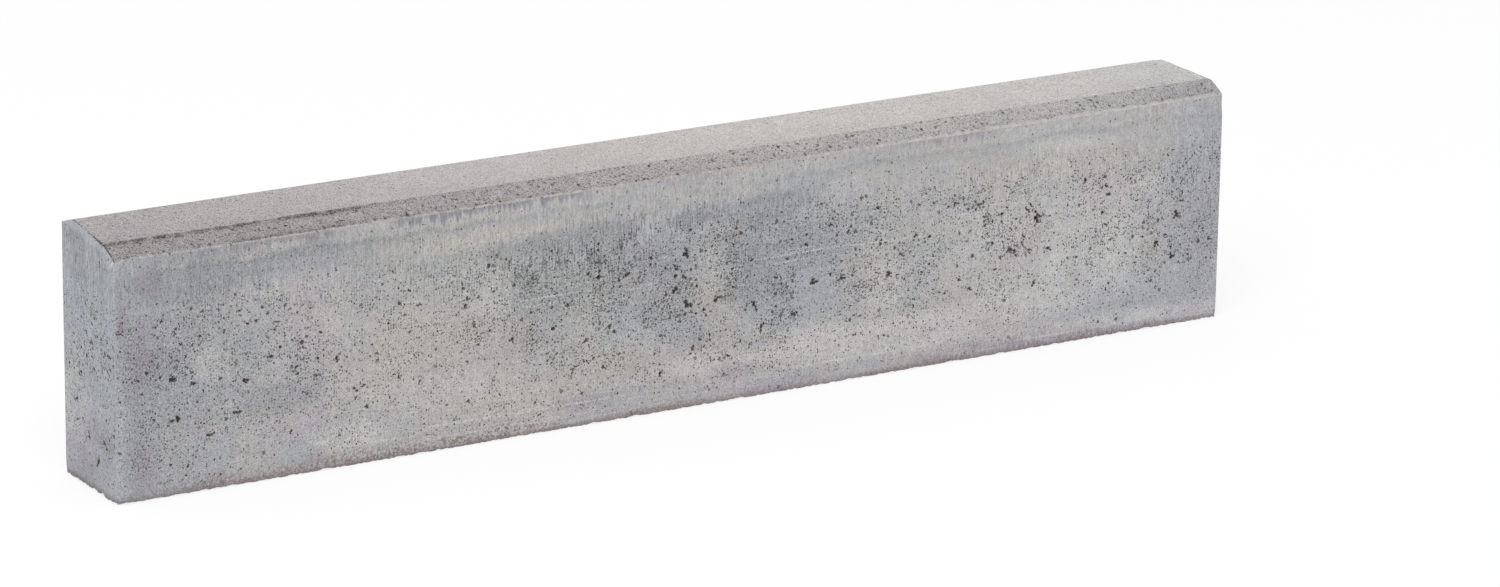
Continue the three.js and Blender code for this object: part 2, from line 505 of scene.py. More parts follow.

# %% [markdown]
# ## Weathering
#
# Damp, paste and brown stains change the colour slowly over the stone, so they need no more detail than
# the lattice has. They are worked out point by point and kept in the mesh as attributes, which the
# materials read. Damp darkens the concrete and pale lightens it. Blue, warm, pink and olive only change
# its hue, stain is lilac, rust is brown, and ochre is a spot of bare sand. Drawn is where small holes are
# drawn out, drape is where the paste under the arris has a hem, and closed is where it has few holes. A
# patch is an ellipse with a soft, ragged edge, set in millimetres.

# %% Say where the weather has been
PATCHES = {
    # along, up, half length, half height, strength
    "face": {
        "damp": [
            (20, 110, 125, 160, 0.7), (150, 85, 55, 40, 0.2), (130, 177, 190, 20, 0.6),
            (365, 120, 60, 56, 0.5), (465, 115, 100, 58, 0.7), (555, 112, 66, 62, 0.75),
            (550, 158, 60, 18, 0.65), (400, 158, 80, 16, 0.4), (622, 124, 46, 50, 0.5),
            (710, 106, 40, 20, 0.3), (985, 100, 75, 130, 0.4), (120, 55, 40, 18, 0.2),
            (550, 162, 90, 11, 0.8), (360, 162, 130, 10, 0.45), (148, 186, 50, 7, 0.4),
            (610, 174, 16, 6, 0.3), (560, 44, 50, 12, 0.3), (180, 26, 50, 14, 0.7),
            (870, 162, 24, 12, 0.4), (130, 66, 50, 16, 0.4), (350, 78, 50, 14, 0.35),
            (625, 114, 30, 12, 0.4), (360, 114, 60, 12, 0.4), (510, 62, 36, 14, 0.4),
            (120, 124, 30, 12, 0.4), (325, 20, 30, 8, 0.3), (725, 106, 30, 16, 0.4),
            (825, 108, 26, 18, 0.6),
        ],
        "pale": [
            (690, 34, 150, 24, 1.3), (520, 34, 90, 12, 0.8), (825, 110, 140, 85, 0.5),
            (860, 15, 210, 7, 1.0), (195, 25, 50, 17, 0.9), (4, 50, 6, 70, 0.4), (280, 50, 80, 22, 0.5),
            (330, 18, 80, 8, 0.3), (940, 9, 70, 8, 0.8), (150, 160, 60, 12, 0.3), (865, 176, 80, 9, 0.8),
            (860, 68, 80, 36, 0.5), (320, 118, 24, 20, 0.5), (514, 112, 18, 34, 0.5),
            (320, 8, 80, 8, 0.9), (778, 48, 34, 18, 0.8), (275, 7, 30, 6, 1.0), (550, 18, 60, 8, 0.5),
            (76, 106, 26, 20, 0.5), (325, 42, 40, 16, 0.3), (890, 88, 24, 30, 0.4),
            (674, 72, 28, 28, 0.8), (925, 132, 28, 14, 0.5),
        ],
        "blue": [
            (0, 100, 70, 150, 0.7), (585, 115, 60, 62, 1.0), (480, 140, 45, 30, 0.5),
            (470, 78, 80, 20, 0.25), (540, 165, 60, 10, 0.5), (100, 175, 110, 10, 0.5),
            (990, 110, 50, 110, 0.4), (900, 30, 120, 26, 0.4), (940, 12, 70, 14, 0.5),
            (875, 75, 60, 30, 0.5),
        ],
        "warm": [
            (280, 75, 110, 66, 0.8), (350, 32, 80, 22, 0.7), (650, 34, 160, 14, 1.2),
            (845, 160, 110, 14, 1.1), (810, 100, 20, 24, 0.8), (512, 100, 26, 36, 0.8),
            (525, 60, 26, 50, 0.5), (300, 174, 120, 18, 0.6), (460, 125, 40, 40, 0.4),
            (160, 145, 22, 40, 0.5), (450, 45, 70, 22, 0.6),
        ],
        "pink": [
            (245, 80, 60, 60, 0.2), (550, 10, 70, 14, 0.8), (150, 40, 34, 14, 1.0),
            (160, 130, 24, 60, 0.5), (520, 30, 80, 16, 0.8), (810, 95, 20, 26, 0.8),
            (900, 130, 50, 30, 0.4), (520, 166, 40, 10, 0.5), (800, 5, 160, 16, 0.5),
            (730, 36, 150, 16, 0.6), (680, 84, 24, 14, 0.6), (960, 8, 60, 10, 0.6),
        ],
        "olive": [
            (300, 150, 100, 40, 0.8), (395, 120, 45, 50, 0.9), (520, 125, 22, 24, 0.6),
            (690, 110, 60, 60, 0.35), (640, 182, 300, 8, 0.5), (420, 75, 50, 20, 0.4),
        ],
        "ochre": [
            (518, 92, 22, 15, 1.0), (502, 140, 18, 9, 0.8), (537, 140, 9, 6, 0.9), (650, 88, 16, 8, 0.4),
        ],
        "stain": [
            (28, 178, 14, 16, 1.1), (22, 118, 26, 34, 0.7), (22, 36, 18, 24, 0.9), (7, 150, 6, 24, 0.9),
            (300, 13, 60, 7, 0.5), (590, 6, 60, 9, 0.5), (785, 8, 140, 14, 0.75), (540, 24, 26, 10, 0.6),
            (400, 22, 34, 9, 0.7), (905, 4, 80, 7, 0.8), (985, 80, 25, 60, 0.3), (165, 14, 20, 8, 0.6),
        ],
        "rust": [
            (190, 3, 170, 12, 1.2), (330, 6, 80, 9, 0.8), (470, 3, 80, 6, 0.9), (690, 2, 70, 5, 0.8),
            (440, 42, 46, 10, 0.25), (5, 140, 10, 5, 0.6), (528, 91, 18, 8, 0.5), (536, 142, 8, 6, 0.6),
        ],
        "drawn": [
            (300, 145, 130, 26, 0.6), (480, 166, 150, 16, 0.6), (830, 158, 150, 20, 0.4),
            (110, 155, 80, 22, 0.4), (430, 146, 85, 32, 0.9), (990, 130, 40, 60, 0.6),
        ],
        "drape": [(190, 190, 300, 400, 1.0), (770, 190, 320, 400, 0.7)],
        "closed": [
            (6, 100, 16, 150, 0.9), (640, 34, 160, 24, 0.6), (860, 30, 120, 22, 0.4),
            (180, 150, 70, 26, 0.3),
        ],
    },
    "back": {
        "damp": [(250, 60, 190, 60, 0.5), (780, 130, 120, 50, 0.45), (560, 185, 300, 10, 0.35)],
        "warm": [(520, 90, 150, 60, 0.6), (120, 140, 90, 40, 0.5)],
        "pale": [(420, 150, 160, 26, 0.6), (880, 60, 110, 40, 0.7)],
        "stain": [(330, 8, 170, 12, 0.7), (820, 7, 120, 9, 0.6), (640, 60, 40, 50, 0.3)],
        "rust": [(520, 4, 120, 8, 0.7)],
        "drawn": [(300, 150, 200, 30, 0.6), (760, 165, 160, 20, 0.5)],
    },
    "left": {
        "damp": [(45, 176, 80, 34, 0.5), (74, 196, 30, 10, 0.5), (20, 100, 50, 60, 0.15)],
        "pale": [(74, 66, 44, 60, 0.8), (45, 105, 60, 20, 0.3)],
        "stain": [(60, 14, 50, 20, 0.6), (40, 50, 30, 14, 0.4), (12, 46, 16, 12, 0.4)],
        "rust": [(20, 42, 20, 3, 0.8), (45, 2, 60, 6, 1.0), (52, 38, 12, 6, 0.5)],
        "pink": [(45, 45, 60, 40, 0.7)],
        "blue": [(45, 130, 60, 80, 0.25)],
        "drawn": [(45, 178, 60, 22, 0.8)],
    },
    "right": {
        "damp": [(40, 120, 50, 60, 0.4)],
        "pale": [(60, 60, 40, 40, 0.4)],
        "stain": [(45, 12, 60, 14, 0.5)],
        "drawn": [(40, 170, 60, 26, 0.7)],
    },
}
KINDS = sorted({kind for kinds in PATCHES.values() for kind in kinds})
print("patches by side:", {side: sum(map(len, kinds.values())) for side, kinds in PATCHES.items()})

# %% [markdown]
# A point's side decides which patches count for it. Each kind of weather is the sum of its patches,
# shaken a little by lumps of its own size, so that no edge of a patch looks drawn.

# %% Add up the patches at a point
DAMP_FOOT = 0.35


def side_of(place):
    """The side that a point of the block lies on, and how far along it. The top and the bed have none."""
    along, across = place.x - LOW.x, place.y - LOW.y
    if across < HAIR:
        return "face", along
    if across > THICKNESS - HAIR:
        return "back", along
    if along < HAIR:
        return "left", across
    if along > LENGTH - HAIR:
        return "right", across
    return None, along


def patch(rag, along, up, shape):
    """How much of a soft, ragged patch is at this place"""
    middle, height, half_length, half_height, strength = shape
    across = (along / MM - middle) / half_length
    above = (up / MM - height) / half_height
    return strength * step(math.hypot(across, above) * rag, 1.15, 0.25)


def patches_at(place, side, along):
    """Every kind of weather at this place, from 0 to 1"""
    rag = 0.45 + 0.8 * lumps(place, 45 * MM, 3.7) + 0.3 * lumps(place, 14 * MM, 5.1)
    sums = dict.fromkeys(KINDS, 0.0)
    for kind, shapes in PATCHES.get(side, {}).items():
        sums[kind] = sum(patch(rag, along, place.z, shape) for shape in shapes)
    sums["damp"] *= 0.85 + 0.3 * lumps(place, 18 * MM, 6.1)
    sums["warm"] *= 0.5 + lumps(place, 30 * MM, 4.6)
    sums["pale"] *= 0.65 + 0.7 * lumps(place, 25 * MM, 8.8)
    foot = step(place.z, 12 * MM, 2 * MM) * step(lumps(place, 50 * MM, 9.9), 0.3, 0.6)
    sums["stain"] += DAMP_FOOT * foot
    return {kind: min(value, 1) for kind, value in sums.items()}


sample = patches_at(Vector((0, LOW.y, HEIGHT / 2)), "face", LENGTH / 2)
print("mid face:", {kind: round(value, 2) for kind, value in sample.items() if value > 0})

# %% [markdown]
# Three marks follow the stone's shape instead of patches: how crowded the small holes are, the runs
# where paste hangs under the arris in tongues, and the dark crumbs along the crease and the arris.

# %% Measure the marks that follow the shape
CURTAIN_RUNS = [
    # from, to, strength, in millimetres from the left end
    (48, 110, 0.5), (104, 185, 0.8), (236, 400, 1.0), (690, 775, 0.6),
]
RUN_FADE = 8
MOST_PORES = 1.25


def pore_share(place, closed):
    """How crowded the small holes are: most at mid height and mid length, and few in closed paste"""
    low = 0.45 * step(place.z, 12 * MM, 60 * MM)
    height = step(place.z, 165 * MM, 138 * MM) * (0.15 + low + 0.7 * step(place.z, 50 * MM, 100 * MM))
    middle = step(place.x, -0.22, -0.1) * (1 - 0.8 * step(place.x, 0.18, 0.38))
    near = 0.5 * step(place.x, -0.36, -0.46) * step(place.z, 90 * MM, 40 * MM)
    crowd = 0.1 + 0.9 * lumps(place, 45 * MM, 2.2) + 0.85 * middle + near
    return min(height * crowd, MOST_PORES) * (1 - closed)


def curtain(side, along):
    """How strongly paste hangs in tongues under this length of the arris"""
    found = 0.0
    for start, end, strength in CURTAIN_RUNS if side == "face" else []:
        begun = step(along / MM, start - RUN_FADE, start + RUN_FADE)
        left = step(along / MM, end + RUN_FADE, end - RUN_FADE)
        found = max(found, begun * left * strength)
    return found


def crumbs(place):
    """Dark, crumbly paste along the crease and, for a stretch, along the arris"""
    along = place.x - LOW.x
    beside = abs(place.y - CREASE_Y)
    crease = step(beside, 3.6 * MM, 1.2 * MM) * (0.05 + 1.15 * step(along, 260 * MM, 170 * MM))
    arris = step(place.y, LOW.y + 5 * MM, LOW.y + 2 * MM) * step(along, 85 * MM, 110 * MM)
    arris *= 0.6 * step(along, 240 * MM, 190 * MM)
    return max(crease, arris) * step(lumps(place, 6 * MM, 7.9), 0.3, 0.65)


def weather(place):
    """Everything that the materials need to know about a place on the stone"""
    side, along = side_of(place)
    found = patches_at(place, side, along)
    found["curtain"] = curtain(side, along)
    found["crumbs"] = crumbs(place)
    found["pores"] = pore_share(place, found.pop("closed"))
    return found


weathering = [weather(home) for home in homes]
print("most crowded pores:", round(max(found["pores"] for found in weathering), 2))

# %% [markdown]
# ## The casting
#
# The worn block becomes a mesh object. Its faces are shaded smooth, and its edges stay sharp where they
# turn by more than a blunt corner does. The weather and the hollows go into the mesh as attributes, one
# value for each point.

# %% Turn the block into a mesh object
SHARP = math.radians(38)


def make_piece():
    mesh = bpy.data.meshes.new("kerb_casting")
    bmesh.ops.recalc_face_normals(block, faces=block.faces)
    for face in block.faces:
        face.smooth = True
    block.to_mesh(mesh)
    mesh.set_sharp_from_angle(angle=SHARP)
    piece = bpy.data.objects.new("kerb_casting", mesh)
    bpy.context.collection.objects.link(piece)
    return piece


def add_values(mesh, name, values):
    layer = mesh.attributes.new(name, "FLOAT", "POINT")
    layer.data.foreach_set("value", values)


casting = make_piece()
for name in weathering[0]:
    add_values(casting.data, name, [found[name] for found in weathering])
add_values(casting.data, "hollow", hollow)
triangles = sum(len(face.vertices) - 2 for face in casting.data.polygons)
print("casting:", triangles, "triangles")

# %% [markdown]
# ## Shader maths
#
# A material is a net of nodes, and sums are easier to read than nets. The class below wraps the output of
# a node, so that ordinary sums on it add the Math nodes. Its `net` is the net that the node belongs to.

# %% Sums on sockets
class Amount:
    """A number that changes over the surface"""

    def __init__(self, net, socket):
        self.net = net
        self.socket = socket

    def math(self, operation, *inputs):
        node = self.net.node("ShaderNodeMath", {"operation": operation}, dict(enumerate(inputs)))
        return Amount(self.net, node.outputs[0])

    def __add__(self, other):
        return self.math("ADD", self, other)

    __radd__ = __add__

    def __sub__(self, other):
        return self.math("SUBTRACT", self, other)

    def __rsub__(self, other):
        return self.math("SUBTRACT", other, self)

    def __mul__(self, other):
        return self.math("MULTIPLY", self, other)

    __rmul__ = __mul__

    def __pow__(self, power):
        return self.math("POWER", self, power)

    def size(self):
        return self.math("ABSOLUTE", self)

    def under(self, limit):
        return self.math("LESS_THAN", self, limit)

    def most(self, other):
        return self.math("MAXIMUM", self, other)

    def step(self, start, end):
        """0 before start and 1 past end, smooth between them"""
        ports = {"Value": self, "From Min": start, "From Max": end}
        settings = {"interpolation_type": "SMOOTHSTEP"}
        return Amount(self.net, self.net.node("ShaderNodeMapRange", settings, ports).outputs[0])

    def band(self, start, end, soft):
        """1 between start and end, with soft edges outside them"""
        return self.step(start - soft, start) * (1 - self.step(end, end + soft))


print("besides sums, an amount has", ", ".join(name for name in vars(Amount) if name[0] != "_"))

# %% [markdown]
# A net is the nodes of one material or of the sky. Its `node` method is the only place that adds a node:
# it takes the type, the settings and what goes into each socket.

# %% Build a net of nodes
class Net:
    def __init__(self, owner):
        self.owner = owner
        self.owner.use_nodes = True
        self.tree = self.owner.node_tree
        self.tree.nodes.clear()

    def node(self, kind, settings=None, ports=None):
        made = self.tree.nodes.new(kind)
        for name, value in (settings or {}).items():
            setattr(made, name, value)
        for name, value in (ports or {}).items():
            if isinstance(value, Amount):
                value = value.socket
            if isinstance(value, bpy.types.NodeSocket):
                self.tree.links.new(value, made.inputs[name])
            else:
                made.inputs[name].default_value = value
        return made

    def seen(self):
        """1 for rays from the camera, and for those that a mirror or a glass sends on, else 0"""
        path = self.node("ShaderNodeLightPath").outputs
        rays = [Amount(self, path[f"Is {name} Ray"]) for name in ("Camera", "Glossy", "Transmission")]
        return rays[0].most(rays[1]).most(rays[2])


print("a net has", ", ".join(name for name in vars(Net) if name[0] != "_"))

# %% [markdown]
# Every texture reads the place in the stone itself, so the pattern stays put from every side. Clouds are
# soft lumps, streaks are lumps drawn out along an axis, and specks are small ragged dots.

# %% Make textures
class Texture(Net):
    """The net of one material, with the textures that the materials share"""

    def __init__(self, name):
        super().__init__(bpy.data.materials.new(name))
        self.place = self.node("ShaderNodeTexCoord").outputs["Object"]
        axes = self.node("ShaderNodeSeparateXYZ", {}, {"Vector": self.place}).outputs
        self.x, self.y, self.z = (Amount(self, axis) for axis in axes)

    def read(self, name):
        return Amount(self, self.node("ShaderNodeAttribute", {"attribute_name": name}).outputs["Fac"])

    def vector(self, operation, *inputs):
        node = self.node("ShaderNodeVectorMath", {"operation": operation}, dict(enumerate(inputs)))
        return node.outputs[0]

    def moved(self, shift):
        """The place, moved, so that the same texture gives another pattern"""
        return self.vector("ADD", self.place, shift)

    def cloud(self, size, detail=2.0, rough=0.5, place=None):
        """Smooth random lumps of about that size, with values around 0"""
        ports = {"Vector": place or self.place, "Scale": 1 / size, "Detail": detail, "Roughness": rough}
        return Amount(self, self.node("ShaderNodeTexNoise", {}, ports).outputs[0]) - 0.5

    def streaks(self, per_metre, detail, rough, place=None):
        """Lumps by how many of them a metre holds along x, y and z. Few along an axis draws them out."""
        return self.cloud(1.0, detail, rough, self.vector("MULTIPLY", place or self.place, per_metre))

    def shaken(self, size, distance, place=None):
        """The place, moved a little at random, which makes round shapes ragged"""
        place = place or self.place
        ports = {"Vector": place, "Scale": 1 / size, "Detail": 1.0}
        dice = self.node("ShaderNodeTexNoise", {}, ports).outputs["Color"]
        shift = self.vector("SUBTRACT", dice, (0.5, 0.5, 0.5))
        return self.vector("ADD", place, self.vector("MULTIPLY", shift, (2 * distance,) * 3))

    def flat(self, across, up):
        """A place on one side of the stone, laid out flat"""
        return self.node("ShaderNodeCombineXYZ", {}, {"X": across, "Y": up}).outputs[0]

    def specks(self, sizes, share, flat):
        """Specks scattered over a flat place, one in a cell. sizes are the cell, the least radius and the
        largest, in millimetres. share is how many of the cells have a speck."""
        cell, smallest, largest = (size * MM for size in sizes)
        ports = {"Vector": flat, "Scale": 1 / cell}
        cells = self.node("ShaderNodeTexVoronoi", {"voronoi_dimensions": "2D"}, ports)
        dice = self.node("ShaderNodeSeparateColor", {}, {"Color": cells.outputs["Color"]}).outputs
        chance, spread, strength = (Amount(self, output) for output in dice)
        radius = (spread ** 2) * ((largest - smallest) / cell) + smallest / cell
        away = Amount(self, cells.outputs["Distance"])
        inside = 1 - away.step(radius * 0.75, radius * 1.03)
        return inside * chance.under(share) * (strength * 0.5 + 0.5)


print("textures:", ", ".join(name for name in vars(Texture) if name[0] != "_"))

# %% [markdown]
# A finish is built up like paint. It keeps the colour so far, and each layer goes over that as thickly as
# a share from 0 to 1 says. Tints multiply the colour a little, because cement paste varies between pink
# and green and between blue and yellow. Colours are picked as a paint chart gives them, with red, green
# and blue from 0 to 255, and one helper turns them into the linear values that a socket wants.

# %% Lay colours
DULL = 0.25
ROSIER, GREENER = (1.015, 0.965, 1.01), (0.985, 1.01, 0.965)
BLUER, YELLOWER = (0.98, 1.0, 1.025), (1.02, 1.0, 0.975)
MOTTLES = [((0.5, 0.1, 0.3), ROSIER, GREENER), ((0.2, 0.6, 0.9), BLUER, YELLOWER)]


def tone(red, green, blue):
    linear = [((each / 255 + 0.055) / 1.055) ** 2.4 for each in (red, green, blue)]
    return (*linear, 1.0)


class Finish(Texture):
    """One material of the stone"""

    def __init__(self, name, colour):
        super().__init__(name)
        self.colour = colour

    def lay(self, over, share):
        ports = {0: share, 6: self.colour, 7: over}
        self.colour = self.node("ShaderNodeMix", {"data_type": "RGBA"}, ports).outputs[2]

    def tint(self, factors, share):
        self.lay(self.vector("MULTIPLY", self.colour, factors), share)

    def mottle(self, size, amount):
        """Lay faint spots of about that size, pink against green and blue against yellow"""
        for shift, one, other in MOTTLES:
            spots = self.cloud(size, 3.0, 0.65, self.moved(shift)) * amount
            self.tint(one, spots)
            self.tint(other, 0 - spots)

    def shade(self, amount):
        """Make the colour lighter or darker by a factor"""
        scale = self.node("ShaderNodeVectorMath", {"operation": "SCALE"}, {0: self.colour, 3: amount})
        self.colour = scale.outputs[0]

    def close(self, roughness, height):
        """The finished material. height is in millimetres."""
        bump = self.node("ShaderNodeBump", {}, {"Strength": 1.0, "Distance": MM, "Height": height})
        ports = {
            "Base Color": self.colour,
            "Roughness": roughness,
            "Normal": bump.outputs[0],
            "Specular IOR Level": DULL,
        }
        shader = self.node("ShaderNodeBsdfPrincipled", {}, ports)
        self.node("ShaderNodeOutputMaterial", {}, {"Surface": shader.outputs[0]})
        print(self.owner.name, "has", len(self.tree.nodes), "nodes")
        return self.owner


print("the chart's grey of 128 is", round(tone(128, 128, 128)[0], 2), "in a socket")

# %% [markdown]
# ## Moulded sides
#
# The sides are smooth cement paste that the mould has dragged up and down. An image of concrete could be
# wrapped round the stone, but it would repeat and blur, so each trace on the paste is a layer of its own.
# The butt ends are the same paste with stronger grain and fewer holes, so the same steps make both
# finishes. The textures that several layers share are made once.

# %% Start the sides
class Side(Finish):
    """A moulded finish. cool and cream are its two tones of paste, and run says how far x and y count
    along the sides, so that no two of them share their specks."""

    def __init__(self, name, cool, cream, run, grain, hole_share):
        super().__init__(name, cool)
        self.cream, self.grain, self.hole_share = cream, grain, hole_share
        self.wall = self.flat(self.x * run[0] + self.y * run[1], self.z)
        self.hang = ARRIS_Z - self.z
        self.high = self.z.step(140 * MM, 165 * MM)
        self.damp, self.blue = self.read("damp"), self.read("blue")
        self.short_lines = self.streaks((1000, 1000, 170), 2.0, 0.6)
        self.long_lines = self.streaks((480, 480, 18), 3.0, 0.6)
        self.fine = self.cloud(1 * MM, 2.0, 0.7)
        self.middle = self.cloud(5 * MM, 3.0, 0.65)
        self.coarse = self.cloud(22 * MM, 3.0, 0.6)
        self.clumps = (self.cloud(12 * MM, 2.0) * 4 + 0.5).step(0.0, 1.0)


sides = [
    Side("moulded_concrete", tone(174, 175, 179), tone(185, 181, 177), (1, 3), 1.1, 1.0),
    Side("butt_concrete", tone(172, 177, 183), tone(180, 182, 186), (1, 1), 1.7, 0.9),
]
print("sides:", [side.owner.name for side in sides], "with", len(sides[0].tree.nodes), "nodes so far")

# %% [markdown]
# Small air holes crowd together at mid height: pinholes nearly everywhere, ragged pits in crowds, and
# faint flecks between the pits.

# %% Scatter the small holes of the sides
PINHOLES = (2.2, 0.42, 0.8)
PITS = (4.6, 0.55, 1.75)


def small_holes(side):
    pores = side.read("pores") * side.hole_share
    regions = (side.cloud(45 * MM, 2.0) * 4 + 0.5).step(0.0, 1.0)
    level = side.z.step(5 * MM, 14 * MM) * (side.z.step(15 * MM, 55 * MM) * 0.5 + 0.5)
    level = level * (1 - side.high * 0.8)
    few = (side.clumps * 0.3 + 0.27) * (regions + 0.55) * (pores * 0.5 + 0.6) * level * side.hole_share
    crowd = pores * (side.clumps * 0.8 + 0.1) * (regions * 1.2 + 0.4)
    pinholes = side.specks(PINHOLES, few, side.shaken(1.2 * MM, 1.1 * MM, side.wall))
    pits = side.specks(PITS, crowd * 0.5, side.shaken(1.7 * MM, 1.9 * MM, side.wall))
    flecks = side.cloud(1.4 * MM, 2.0, 0.6).step(0.12, 0.2) * crowd
    return pinholes.most(pits).most(flecks * (side.damp * 0.35 + 0.3))


print("pinholes are up to", 2 * PINHOLES[2], "mm wide, and pits up to", 2 * PITS[2], "mm")

# %% [markdown]
# Cool grey and cream grey drift into each other over the paste, and near the top in slanting smears. The
# weather goes over them: damp, pale bloom, lilac stain, brown crumbs at the foot and a few sandy spots.

# %% Paste and weather of the sides
DAMP, PALE, STAIN = tone(154, 155, 157), tone(196, 195, 193), tone(146, 134, 145)
RUST, SAND = tone(136, 117, 113), tone(175, 170, 160)


def lay_paste(side):
    drift = side.cloud(36 * MM, 5.0, 0.65, side.moved((0.4, 0.2, 0.7)))
    drift = drift * (1 - side.z.step(130 * MM, 170 * MM) * 0.6)
    smears = side.streaks((16, 16, 90), 2.0, 0.5, side.shaken(50 * MM, 12 * MM))
    smears = smears * side.z.step(150 * MM, 170 * MM)
    creamy = drift * 1.5 + smears * 0.8 + 0.4 + side.read("warm") * 0.6 - side.damp * 0.2 - side.blue * 0.5
    side.lay(side.cream, creamy.step(0.0, 1.0))


def lay_weather(side):
    side.lay(DAMP, (side.damp * (1 + side.coarse * 0.7 + side.middle * 1.2)).step(0, 1.1) * 0.85)
    side.lay(PALE, side.read("pale") * (side.coarse + 0.6).step(0.2, 0.6) * 0.9)
    patchy = (side.middle + side.coarse + side.short_lines * 3 + 0.5).step(0.2, 0.8)
    side.lay(STAIN, side.read("stain") * patchy * 0.9)
    crumbly = (side.cloud(2.2 * MM, 3.0, 0.75) * 5 + side.middle * 2 + 0.4).step(0.25, 0.75)
    side.lay(RUST, side.read("rust") * crumbly * 0.85)
    ochre = side.read("ochre")
    sandy = (side.fine * 4 + side.middle * 2.5 + ochre * 1.4 - 0.7).step(0.0, 0.5) * ochre.step(0.0, 0.2)
    side.lay(SAND, sandy * 0.32)


print("damp paste sends back", round(DAMP[1] / PALE[1], 2), "times as much light as pale paste")

# %% [markdown]
# Under the arris the paste hangs in a curtain. Short tongues taper downwards from it, and its hem is a
# pale wavy line with a cool shadow under it. Each is a height that wavers along the stone, compared with
# the distance down from the arris.

# %% Hang the curtain
SHADOW, HEM, TONGUE = tone(146, 149, 154), tone(188, 186, 180), tone(140, 140, 148)
TONGUE_LENGTH = 8 * MM
HEM_DROP = 10 * MM


def hang_curtain(side):
    tongues = side.streaks((250, 250, 6), 1.0, 0.5) * 3.4 + side.fine * 1.5 + side.middle
    tongues = tongues + 0.8 - side.hang * (1 / TONGUE_LENGTH)
    below_lip = side.hang.step(0.8 * MM, 2.4 * MM)
    rim = tongues.band(-0.3, -0.1, 0.15) * below_lip
    waves = side.streaks((22, 22, 0), 2.0, 0.5) * 16 * MM
    ripples = side.streaks((160, 160, 0), 1.0, 0.5) * 4 * MM
    past = side.hang - (waves + ripples + HEM_DROP)
    hem = past.band(0.0, 1.0 * MM, 4 * MM) * (side.middle * 3 + side.coarse * 3 + 0.6).step(0.1, 0.9)
    shadow = past.band(4 * MM, 5 * MM, 3 * MM) + past.band(5 * MM, 9 * MM, 5 * MM) * 0.4
    drape, curtain_here = side.read("drape"), side.read("curtain")
    side.lay(SHADOW, shadow * drape * 0.32)
    side.lay(HEM, (hem * drape * 0.3).most(rim * curtain_here * 0.4))
    side.lay(TONGUE, tongues.step(0.0, 0.3) * below_lip * curtain_here * 0.85)


print("the hem hangs about", round(HEM_DROP / MM), "mm under the arris")

# %% [markdown]
# The paste isn't one grey. Its hue drifts between bluish, pink and olive, in large patches and in small
# mottling, and it is a little warmer just under the arris.

# %% Tint the sides
WARM_STRIP = (1.03, 1.0, 0.96)
COOL_PATCH = (0.965, 0.995, 1.035)
MOTTLE_SIZE = 9 * MM


def tint_side(side):
    strip = (1 - side.hang.step(1 * MM, 5 * MM)) * side.x.step(-0.42, -0.38)
    side.tint(WARM_STRIP, strip)
    hue = side.cloud(20 * MM, 6.0, 0.8, side.moved((0.8, 0.3, 0.1)))
    side.tint(COOL_PATCH, side.blue * (hue * 2 + 0.8))
    side.mottle(MOTTLE_SIZE, 4.0)
    rosy = hue * 2.5 + side.read("pink") * 0.9 - side.read("olive") * 0.8 + side.fine * 2.5
    side.tint(ROSIER, rosy.step(-0.2, 1.3))
    side.tint(GREENER, (0 - rosy).step(-0.2, 1.3))


print("the mottling is about", round(MOTTLE_SIZE / MM), "mm large")

# %% [markdown]
# Pale ledges run level across the face where the mould stood still for a moment. Fine upright grain runs
# all over the sides, calmer under the arris of the right half, with mottling at three sizes and faint
# level layers. Towards the top it draws small holes out into dashes, painted dark as shade, and here and
# there a grain glints.

# %% Draw the grain of the sides
LEDGE, DASH_SHADE, GLINT = tone(204, 203, 202), tone(104, 105, 110), tone(208, 207, 205)
GLINTS = (3.1, 0.35, 0.7)


def lay_ledges(side):
    upper = side.streaks((9, 9, 420), 2.0, 0.6).step(0.1, 0.2) * side.z.band(100 * MM, 125 * MM, 10 * MM)
    lower = side.streaks((7, 7, 300), 2.0, 0.6).step(0.06, 0.16) * (1 - side.z.step(20 * MM, 30 * MM))
    side.lay(LEDGE, upper.most(lower) * 0.5 * side.x.step(-0.4, -0.2))


def shade_grain(side):
    lines = side.short_lines * 0.8 + side.long_lines * 0.3 + side.streaks((150, 150, 9), 2.0, 0.5) * 0.2
    upper = side.z.step(120 * MM, 165 * MM) * 0.6 + 0.4
    calm = side.x.band(0.14, 0.4, 0.06) * side.z.step(150 * MM, 168 * MM)
    layers = side.streaks((5, 5, 55), 3.0, 0.55)
    shade = side.x.step(-0.6, 0.6) * 0.05 + 0.99
    shade = shade + lines * (upper - calm * 0.5) * side.grain + side.middle * 0.34
    shade = shade + side.fine * (side.damp + 1.7) * (1 - side.high * 0.3)
    side.shade(shade + side.coarse * 0.12 + layers * 0.22)


def draw_dashes(side):
    dashes = side.streaks((600, 600, 95), 1.0, 0.5).step(0.04, 0.13)
    dashes = dashes * side.read("drawn") * (side.clumps * 0.7 + 0.3)
    # Painted shade: the drawn-out holes are dark dashes
    side.lay(DASH_SHADE, dashes * 0.85)
    glints = side.specks(GLINTS, 0.15, side.shaken(1.6 * MM, 1.2 * MM, side.wall))
    side.lay(GLINT, glints * 0.5)


print("glints are up to", 2 * GLINTS[2], "mm wide")

# %% [markdown]
# The holes come after the paste, so that none of its layers lies over them. Their darkness is painted
# shade:
# the small holes are dark specks, and those that are cut into the mesh get a floor painted brown and dark,
# partly colour and partly shade, and painted shade in their ragged depth. The foot has a dark broken line.
# The outer upright corners get a painted highlight, a broken pale line, and so does the lip of paste at
# the arris, where the painted highlight is broken and strongest at the right end.

